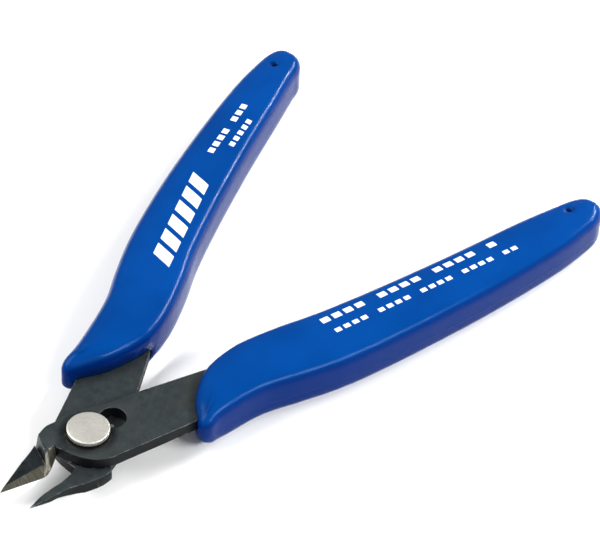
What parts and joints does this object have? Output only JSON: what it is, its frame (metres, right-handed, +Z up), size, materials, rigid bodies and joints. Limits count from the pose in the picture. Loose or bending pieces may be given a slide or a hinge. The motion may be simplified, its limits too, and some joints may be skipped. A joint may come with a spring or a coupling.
{
  "type": "sprue nippers",
  "caption": "Small spring-opened side-cutting nippers with flat stamped shear blades on a pivot pin and long curved moulded plastic grips.",
  "frame": {"origin": "centre of the bounding box's bottom face, with the tool lying flat on its grips", "axes": "+Z up along the pivot axis, +Y from the jaws towards the grip ends along the bisector of the open handles, +X towards the front half's grip"},
  "size_m": [0.0778, 0.1236, 0.0092],
  "materials": {
    "blade_steel": "black oxide",
    "grip_plastic": "gloss",
    "pin_nickel": "satin nickel",
    "spring_wire": "drawn wire"
  },
  "bodies": {
    "rear_half": {"rear_blade": "blade_steel", "rear_grip": "grip_plastic", "pivot_pin": "pin_nickel", "pivot_collar": "pin_nickel", "return_spring": "spring_wire"},
    "front_half": {"front_blade": "blade_steel", "front_grip": "grip_plastic"}
  },
  "joints": [
    {"name": "pivot", "type": "hinge", "parent": "rear_half", "child": "front_half", "pos_m": [-0.0007, -0.04358, 0.0046], "axis": [0, 0, 1], "range_deg": [0, 19], "stiffness_Nm_per_rad": 1, "deforming": ["return_spring"]}
  ]
}
